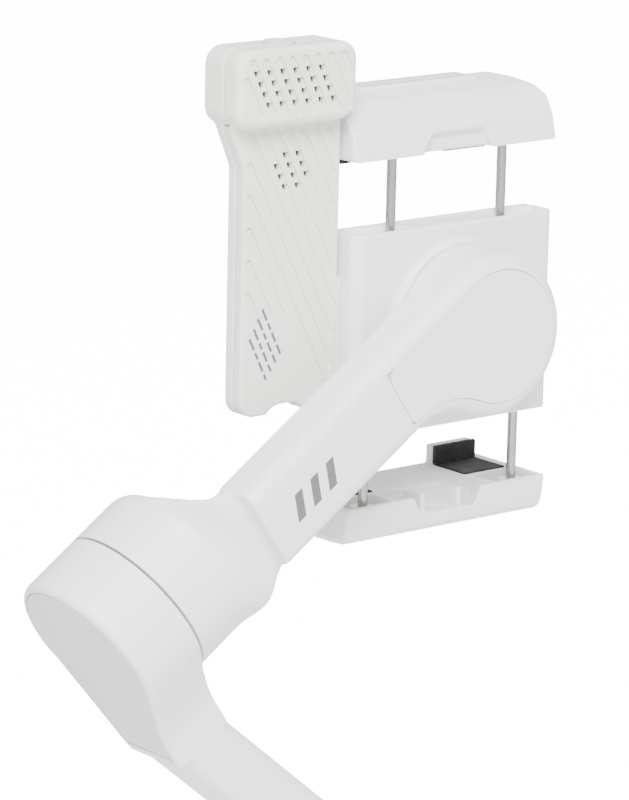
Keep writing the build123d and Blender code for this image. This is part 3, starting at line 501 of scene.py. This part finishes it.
def build_tilt_arm():
    """White arm from the roll hub to the tilt motor's cup, with the recess of its cover."""
    bar = moulding("bar", ARM_PLANE, arm_outline, ARM_BACK, ARM_FRONT, ARM_FRONT_FILLET, ARM_BACK_FILLET)
    hub = cylinder(CENTRE, FRONT, HUB_RADIUS, HUB_BACK - TRIM_ALLOWANCE, ARM_FRONT - 4)
    cup = cylinder(TILT_POINT, -ALONG, MOTOR_RADIUS, -CUP_SHOULDER - 1, CUP_LENGTH, fillet=CUP_SHOULDER)
    arm = soften(join("arm", [bar, hub, flare(), cup]), ARM_VOXEL, rounds=8)
    hub_trim = cylinder(CENTRE, FRONT, HUB_RADIUS + TRIM_ALLOWANCE, HUB_BACK - 2 * TRIM_ALLOWANCE, HUB_BACK)
    cut(arm, [hub_trim])
    slice_off(arm, TILT_POINT - ALONG * MOTOR_GAP_HALF, ALONG)

    def recess_outline(_):
        return arm_outline(COVER_INSET - COVER_GAP, COVER_LENGTH + COVER_GAP)

    recess = moulding("recess", ARM_PLANE, recess_outline, ARM_FRONT - COVER_THICKNESS,
                      ARM_FRONT + CUTTER_EXCESS, 0.0)
    cavity = cylinder(CENTRE, FRONT, HUB_RADIUS - MOTOR_WALL, HUB_BACK - POCKET_EXCESS, HUB_BACK + 10)
    socket = cylinder(TILT_POINT, -ALONG, MOTOR_RADIUS - MOTOR_WALL, -POCKET_EXCESS, ROTOR_SEAT)
    cut(arm, [recess, cavity, socket])
    finish_piece(arm, "tilt_arm_moulding", MATERIALS["white_shell"], "tilt_arm", "white_shell",
                 "tilt_arm_shell")


MARK_START = 46.0
MARK_PITCH = 4.6
MARK_WIDTH = 2.2
MARK_SLANT = 2.2
MARK_LOW = -9.4
MARK_HIGH = -4.0
MARK_SINK = 0.05


def build_arm_mark():
    """Three slanted bars printed on the arm."""
    for index in range(3):
        start = MARK_START + MARK_PITCH * index
        points = [(start, MARK_LOW), (start + MARK_WIDTH, MARK_LOW),
                  (start + MARK_SLANT + MARK_WIDTH, MARK_HIGH), (start + MARK_SLANT, MARK_HIGH)]
        rings = []
        for depth in (ARM_FRONT - MARK_SINK, ARM_FRONT + PRINT_RISE):
            rings.append([place(ARM_PLANE, x, y, depth) for x, y in points])
        mark = loft("mark", rings)
        finish_piece(mark, f"arm_mark_{index + 1}", INK, "tilt_arm", "white_shell")


# ---------------------------------------------------------------- pan arm
TILT_PLANE = (TILT_POINT, ACROSS, Vector((0, 1, 0)), ALONG)


def teardrop(inset, tail=TAIL_LENGTH + 2, sides=14):
    """Round housing seen along the tilt axis: its back side runs straight into the tail, its front
    side in an S-curve."""
    radius = MOTOR_RADIUS - inset
    half = TAIL_HALF - inset
    lean = degrees(atan2(radius - half, tail))
    points = arc((0, 0), radius, 90 - lean, 270, 80)
    for step in range(1, 2 * sides + 1):
        x = tail * step / (2 * sides)
        points.append((x, -radius + (radius - half) * ease(x, 0, S_CURVE_END)))
    points += [(tail, -half + 2 * half * step / 8) for step in range(1, 8)]
    for step in range(sides - 2):
        points.append((tail - tail * step / sides, half + (radius - half) * step / sides))
    return points


def pan_bar():
    """Round-edged bar from the tilt housing down to the pan motor's cap."""
    corner_power = 0.45
    start_share = 0.45
    bend_half = 4
    sides = 48
    run = Vector((cos(PAN_SLOPE), 0, -sin(PAN_SLOPE)))
    up = Vector((sin(PAN_SLOPE), 0, cos(PAN_SLOPE)))
    middle = TILT_GAP + STATOR_END / 2
    bend = CENTRE + ALONG * middle + ACROSS * TAIL_LENGTH
    start = CENTRE + ALONG * middle + ACROSS * (TAIL_LENGTH * start_share)
    foot = bend + run * (-bend.x / cos(PAN_SLOPE))
    stations = [(start, -ALONG), (bend - ACROSS * bend_half, -ALONG), (bend, (up - ALONG) / 2),
                (bend + run * bend_half, up), (foot, up)]
    rings = []
    for point, side in stations:
        ring = []
        for step in range(sides):
            angle = 2 * pi * step / sides
            high = squared(cos(angle), corner_power, PAN_BAR_HALF)
            wide = squared(sin(angle), corner_power, TAIL_HALF)
            ring.append(point + side * high + Vector((0, wide - TILT_DEPTH, 0)))
        rings.append(ring)
    return loft("pan_bar", rings)


def build_pan_arm():
    """White arm with the tilt motor's housing, its tail, the bar and the pan motor's cap."""
    housing = moulding("housing", TILT_PLANE, teardrop, MOTOR_GAP_HALF, STATOR_END, HOUSING_FILLET)
    rim = cylinder(TILT_POINT, ALONG, MOTOR_RADIUS, -TRIM_ALLOWANCE, 6)
    top = Vector((0, 0, PAN_GAP_Z))
    cap = cylinder(top, (0, 0, 1), MOTOR_RADIUS, -TRIM_ALLOWANCE, PAN_CAP, fillet=PAN_CAP_FILLET)
    trim_margin = 4
    arm = soften(join("arm", [housing, rim, pan_bar(), cap]), ARM_VOXEL, rounds=7)
    rim_trim = cylinder(TILT_POINT, -ALONG, MOTOR_RADIUS + trim_margin, -MOTOR_GAP_HALF, 12)
    cut(arm, [rim_trim])
    slice_off(arm, top + Vector((0, 0, MOTOR_GAP_HALF)), (0, 0, -1))

    def recess_outline(_):
        return teardrop(END_COVER_INSET, TAIL_LENGTH)

    recess = moulding("recess", TILT_PLANE, recess_outline, STATOR_END - END_COVER_THICKNESS,
                      STATOR_END + CUTTER_EXCESS, 0.0)
    cavity = cylinder(TILT_POINT, ALONG, MOTOR_RADIUS - MOTOR_WALL, -POCKET_EXCESS, STATOR_END - STATOR_FLOOR)
    socket = cylinder(top, (0, 0, 1), MOTOR_RADIUS - MOTOR_WALL, -POCKET_EXCESS, ROTOR_SEAT)
    cut(arm, [recess, cavity, socket])
    finish_piece(arm, "pan_arm_moulding", MATERIALS["white_shell"], "pan_arm", "white_shell",
                 "pan_arm_shell")


def build_end_cover():
    """Grey cover that closes the tilt motor's housing and its tail."""
    def cover_outline(inset):
        return teardrop(END_COVER_INSET + COVER_GAP + inset, TAIL_LENGTH - COVER_GAP - inset)

    cover = moulding("cover", TILT_PLANE, cover_outline, STATOR_END - END_COVER_THICKNESS, STATOR_END,
                     END_COVER_FILLET)
    finish_piece(cover, "tilt_end_cover_moulding", MATERIALS["grey_cover"], "pan_arm", "grey_cover",
                 "tilt_end_cover")


# ---------------------------------------------------------------- clamp and shells
def build_soft_shells():
    """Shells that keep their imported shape, with their edges rounded as moulded."""
    voxel_and_rounds = (
        ("clamp_block_front", "clamp", 0.36, 5), ("clamp_block_back", "clamp", 0.36, 4),
        ("upper_jaw_shell", "upper_jaw", 0.36, 6), ("lower_jaw_shell", "lower_jaw", 0.34, 4),
        ("module_back_shell", "tracking_module", 0.36, 6), ("handle_front_shell", "handle", 0.6, 4),
        ("handle_back_shell", "handle", 0.6, 4), ("handle_base", "handle", 0.6, 5),
        ("pan_motor_housing", "neck", 0.45, 5), ("neck_knuckle", "neck", 0.35, 6),
        ("neck_yoke", "pole_upper", 0.35, 5),
    )
    for node, body, voxel, rounds in voxel_and_rounds:
        slot = SLOTS[node]
        shape = soften(copy_of(node), voxel, rounds)
        finish_piece(shape, f"{node}_moulding", MATERIALS[slot], body, slot, node, crease=50)


# ---------------------------------------------------------------- tracking module
GROOVE_RUN = Vector((0.447, 0, -0.894))
GROOVE_PITCH = 3.2
GROOVE_WIDTH = 1.5
GROOVE_DEPTH = 0.5
GROOVE_MOUTH = 1.0
SHORTEST_GROOVE = 3.0
VENT_HALF = 0.62
VENT_DEPTH = 1.4
VENT_SHIFT = 1.05
VENT_DROP = 2.09
VENT_MOUTH = 1
# thickness and margin of the dark sheet of painted shade at the bottom of the vents
SHADE_SHEET_THICKNESS = 0.12
SHADE_SHEET_MARGIN = 1

# the module's front and its fields, with heights worked out from the clamp's centre
MODULE_VOXEL = 0.34
BODY_FRONT = -5.6
BODY_LEFT = -52.2
BODY_RIGHT = -28.2
HEAD_GROOVES_X = (-55.4, -29.4)
HEAD_GROOVES_Z = (CENTRE.z + 46.9, CENTRE.z + 57.4)
BODY_GROOVES_X = (BODY_LEFT + 1.4, BODY_RIGHT - 1.6)
BODY_GROOVES_Z = (CENTRE.z - 9.5, CENTRE.z + 42.6)
BARE_CORNER = (BODY_LEFT + 12.0, CENTRE.z + 6.0)
HEAD_VENTS = (-52.7, CENTRE.z + 55.1)
BODY_VENTS = (-45.0, CENTRE.z + 37.8)
HEAD_VENT_ROWS = [range(6)] * 4
BODY_VENT_ROWS = [(1, 2), (0, 1, 2), (0, 1, 2), (0, 1)]


def groove(start, finish, front):
    """Round-ended channel cutter between two points of the face."""
    side = GROOVE_RUN.cross(Vector((0, 1, 0)))
    ring = []
    for centre, turn in ((start, 90), (finish, -90)):
        for step in range(9):
            angle = radians(turn + 180 * step / 8)
            ring.append(centre + (GROOVE_RUN * cos(angle) + side * sin(angle)) * (GROOVE_WIDTH / 2))
    return face_prism("groove", ring, (front - GROOVE_MOUTH, front + GROOVE_DEPTH))


def grooves(x_span, z_span, front, through, bare=None):
    """Parallel slanted channels over a rectangle of the face, one of them through a given point.

    The bare corner (x, z) keeps the lower left of the face smooth.
    """
    cutters = []
    slope = GROOVE_RUN.x / -GROOVE_RUN.z
    drop = (z_span[1] - z_span[0]) * slope
    first = through[0] - (z_span[1] - through[1]) * slope
    offset = first - GROOVE_PITCH * ceil((first - x_span[0] + drop) / GROOVE_PITCH)
    while offset < x_span[1]:
        top_z = z_span[1] - max(0.0, (x_span[0] - offset) / slope)
        low_z = z_span[1] - min(z_span[1] - z_span[0], (x_span[1] - offset) / slope)
        if bare and offset + (z_span[1] - bare[1]) * slope < bare[0]:
            low_z = max(low_z, bare[1])
        if top_z - low_z > SHORTEST_GROOVE:
            start = Vector((offset + (z_span[1] - top_z) * slope, 0, top_z))
            finish = Vector((offset + (z_span[1] - low_z) * slope, 0, low_z))
            cutters.append(groove(start, finish, front))
        offset += GROOVE_PITCH
    return cutters


def vent_holes(corner, rows, front):
    """Square holes in slanted rows; each row is the list of its filled columns."""
    holes = []
    for row, columns in enumerate(rows):
        for column in columns:
            x = corner[0] + GROOVE_PITCH * column + VENT_SHIFT * row
            z = corner[1] - VENT_DROP * row
            holes.append(slab((x - VENT_HALF, front - VENT_MOUTH, z - VENT_HALF),
                              (x + VENT_HALF, front + VENT_DEPTH, z + VENT_HALF)))
    return holes


def painted_vent_shade_sheet(name, corner, rows, front):
    """Dark sheet at the bottom of a field of vents: painted shade that stands in for the shadow inside the holes.
    """
    last_row = len(rows) - 1
    last_column = max(column for columns in rows for column in columns)
    width = GROOVE_PITCH * last_column + VENT_SHIFT * last_row
    low = (corner[0] - SHADE_SHEET_MARGIN, front + VENT_DEPTH - SHADE_SHEET_THICKNESS,
           corner[1] - VENT_DROP * last_row - SHADE_SHEET_MARGIN)
    high = (corner[0] + width + SHADE_SHEET_MARGIN, front + VENT_DEPTH, corner[1] + SHADE_SHEET_MARGIN)
    finish_piece(slab(low, high), name, PAINTED_VENT_SHADE, "tracking_module", "dark_rubber")


def build_module_front():
    """Front shell of the module. Each field is cut by itself, because the cutters of two fields overlap."""
    head_front = node_box("module_front_shell")[0].y
    shape = soften(copy_of("module_front_shell"), MODULE_VOXEL, rounds=6)
    cut(shape, grooves(HEAD_GROOVES_X, HEAD_GROOVES_Z, head_front, HEAD_VENTS))
    cut(shape, grooves(BODY_GROOVES_X, BODY_GROOVES_Z, BODY_FRONT, BODY_VENTS, BARE_CORNER))
    cut(shape, vent_holes(HEAD_VENTS, HEAD_VENT_ROWS, head_front))
    cut(shape, vent_holes(BODY_VENTS, BODY_VENT_ROWS, BODY_FRONT))
    # dark sheets of painted shade at the bottom of both vent fields
    painted_vent_shade_sheet("head_vent_painted_shade", HEAD_VENTS, HEAD_VENT_ROWS, head_front)
    painted_vent_shade_sheet("body_vent_painted_shade", BODY_VENTS, BODY_VENT_ROWS, BODY_FRONT)
    finish_piece(shape, "module_front_moulding", MATERIALS["module_shell"], "tracking_module",
                 "module_shell", "module_front_shell", crease=40)


DASH_ROWS = 4
DASH_CORNER = Vector((-51.0, 0, CENTRE.z + 4.0))
DASH_ROW_PITCH = 1.75
DASH_STAGGER = 1.2
DASH_HALF_WIDTH = 0.28
DASH_SINK = 0.04
DASHES = ((0.0, 2.6), (3.3, 1.5), (5.5, 2.2))
LAST_DASH_START = 8.4


def build_module_print():
    """Slanted rows of short dashes in place of printed text."""
    side = Vector((-GROOVE_RUN.z, 0, GROOVE_RUN.x))
    half_line = side * DASH_HALF_WIDTH
    depths = (BODY_FRONT - PRINT_RISE, BODY_FRONT + DASH_SINK)
    middle_row = (DASH_ROWS - 1) / 2
    for row in range(DASH_ROWS):
        start = DASH_CORNER + side * (DASH_ROW_PITCH * row) - GROOVE_RUN * (DASH_STAGGER * (row - middle_row))
        last_length = 1.3 + 0.3 * row
        for index, (begin, length) in enumerate((*DASHES, (LAST_DASH_START, last_length))):
            low = start + GROOVE_RUN * begin
            high = low + GROOVE_RUN * length
            corners = (low - half_line, high - half_line, high + half_line, low + half_line)
            dash = face_prism("dash", corners, depths)
            finish_piece(dash, f"module_dash_{row}_{index}", INK, "tracking_module", "module_shell")


# ---------------------------------------------------------------- small details
LABEL_MARGIN_X = 2.0
LABEL_MARGIN_Y = 1.4
LABEL_LINE = 0.28
LABEL_SINK = 0.02
RIB_COUNT = 12
RIB_START = 18.0
RIB_PITCH = 4.2
RIB_RADIUS = 0.62
RIB_SINK = 0.35
RIB_HALF_LENGTH = 6.5
RIB_FILLET = 0.5
LAMP_HEIGHT = 65.6
LAMP_PITCH = 3.0
LAMP_RADIUS = 0.55
LAMP_LENGTH = 0.36
LAMP_SINK = 0.3
LAMP_FILLET = 0.1


def build_label_border():
    """Thin printed frame on the blank label of the upper jaw."""
    low, high = node_box("jaw_label_plate")
    x0, x1 = low.x + LABEL_MARGIN_X, high.x - LABEL_MARGIN_X
    y0, y1 = low.y + LABEL_MARGIN_Y, high.y - LABEL_MARGIN_Y
    strips = (((x0, y0), (x1, y0 + LABEL_LINE)), ((x0, y1 - LABEL_LINE), (x1, y1)),
              ((x0, y0), (x0 + LABEL_LINE, y1)), ((x1 - LABEL_LINE, y0), (x1, y1)))
    for index, (start, finish) in enumerate(strips):
        strip = slab((*start, high.z - LABEL_SINK), (*finish, high.z + PRINT_RISE))
        finish_piece(strip, f"label_line_{index + 1}", BLUE_INK, "upper_jaw", "label")


def build_grip():
    """Raised rubber ribs across the back of the handle."""
    back = node_box("handle_back_shell")[0].y
    for index in range(RIB_COUNT):
        middle = (0, back + RIB_SINK, RIB_START + RIB_PITCH * index)
        rib = cylinder(middle, (1, 0, 0), RIB_RADIUS, -RIB_HALF_LENGTH, RIB_HALF_LENGTH,
                       SMALL_ROUND_SIDES, RIB_FILLET)
        finish_piece(rib, f"grip_rib_{index + 1}", MATERIALS["dark_rubber"], "handle", "dark_rubber")


def build_panel_lights():
    """Three small status lamps on the control panel."""
    face = node_box("control_panel")[1].y
    for index in range(3):
        foot = (LAMP_PITCH * (index - 1), face - LAMP_SINK, LAMP_HEIGHT)
        lamp = cylinder(foot, (0, 1, 0), LAMP_RADIUS, 0, LAMP_LENGTH, SMALL_ROUND_SIDES, LAMP_FILLET)
        finish_piece(lamp, f"panel_light_{index + 1}", MATERIALS["diffuser"], "handle", "diffuser")


# ---------------------------------------------------------------- stage, light and camera
FLOOR_HALF = 9000
FLOOR_GLOW = 14.0
WALL_LIGHT = 0.2
CEILING_LIGHT = 1.5


def build_stage():
    """Pale floor that glows for camera rays alone, so it looks white and lights nothing."""
    corners = [(-FLOOR_HALF, -FLOOR_HALF, 0), (FLOOR_HALF, -FLOOR_HALF, 0),
               (FLOOR_HALF, FLOOR_HALF, 0), (-FLOOR_HALF, FLOOR_HALF, 0)]
    floor = make_object("floor", corners, [(0, 1, 2, 3)])
    made, nodes, links, shader = material("pale_floor", (0.93, 0.93, 0.93), 0.9)
    drift = noise(nodes, links, 2.0, 2.0)
    tint(nodes, links, shader, drift.outputs["Fac"], (0.925, 0.925, 0.925), (0.935, 0.935, 0.935))
    shader.inputs["Emission Color"].default_value = (1, 1, 1, 1)
    seen = nodes.new("ShaderNodeLightPath")
    glow = nodes.new("ShaderNodeMath")
    glow.operation = "MULTIPLY"
    glow.inputs[1].default_value = FLOOR_GLOW
    links.new(seen.outputs["Is Camera Ray"], glow.inputs[0])
    links.new(glow.outputs[0], shader.inputs["Emission Strength"])
    floor.data.materials.append(made)


def build_studio():
    """Even white surroundings, dim near the ground and bright overhead."""
    world = bpy.data.worlds.new("studio")
    bpy.context.scene.world = world
    world.use_nodes = True
    tree = world.node_tree
    place_in_sky = tree.nodes.new("ShaderNodeTexCoord")
    split = tree.nodes.new("ShaderNodeSeparateXYZ")
    tree.links.new(place_in_sky.outputs["Generated"], split.inputs["Vector"])
    ramp = tree.nodes.new("ShaderNodeMapRange")
    ramp.inputs["From Min"].default_value = -0.2
    ramp.inputs["From Max"].default_value = 0.9
    ramp.inputs["To Min"].default_value = WALL_LIGHT
    ramp.inputs["To Max"].default_value = CEILING_LIGHT
    tree.links.new(split.outputs["Z"], ramp.inputs["Value"])
    tree.links.new(ramp.outputs["Result"], tree.nodes["Background"].inputs["Strength"])
    tree.nodes["Background"].inputs["Color"].default_value = (1, 1, 1, 1)


# name, position in metres, size in metres, power in watts
LIGHTS = (
    ("key", (-0.75, -0.9, 1.35), (0.7, 0.7), 76),
    ("rim", (1.3, 0.5, 0.9), (0.7, 1.0), 9),
    ("front_fill", (0.5, -1.6, 0.5), (1.2, 0.8), 3),
)


def build_light():
    """Rectangular lamps that all point at the clamp."""
    for name, position, size, power in LIGHTS:
        data = bpy.data.lights.new(name, "AREA")
        data.shape = "RECTANGLE"
        data.size, data.size_y = size
        data.energy = power
        lamp = bpy.data.objects.new(name, data)
        bpy.context.scene.collection.objects.link(lamp)
        lamp.location = position
        aim = CENTRE * MM - Vector(position)
        lamp.rotation_euler = aim.to_track_quat("-Z", "Y").to_euler()


CAMERA_OFFSET = Vector((-556.4, -635.5, 183.0))
CAMERA_BACK = Vector((-0.6214, -0.7484, 0.2317))
CAMERA_RIGHT = Vector((0.7725, -0.6346, 0.0220))


def build_camera():
    """Long lens to the left of and a little above the clamp, looking at the back of the phone."""
    back = CAMERA_BACK.normalized()
    up = back.cross(CAMERA_RIGHT.normalized()).normalized()
    right = up.cross(back)
    place_at = (CENTRE + CAMERA_OFFSET) * MM
    data = bpy.data.cameras.new("camera")
    data.sensor_fit = "VERTICAL"
    data.sensor_height = 36.0
    data.lens = 191.6
    data.clip_start = 0.01
    data.clip_end = 60.0
    camera = bpy.data.objects.new("camera", data)
    bpy.context.scene.collection.objects.link(camera)
    turn = Matrix((right, up, back)).transposed().to_4x4()
    camera.matrix_world = Matrix.Translation(place_at) @ turn
    bpy.context.scene.camera = camera


paint_frame()
build_tilt_arm()
build_arm_mark()
build_pan_arm()
build_end_cover()
build_soft_shells()
build_module_front()
build_module_print()
build_label_border()
build_grip()
build_panel_lights()
build_stage()
build_studio()
build_light()
build_camera()
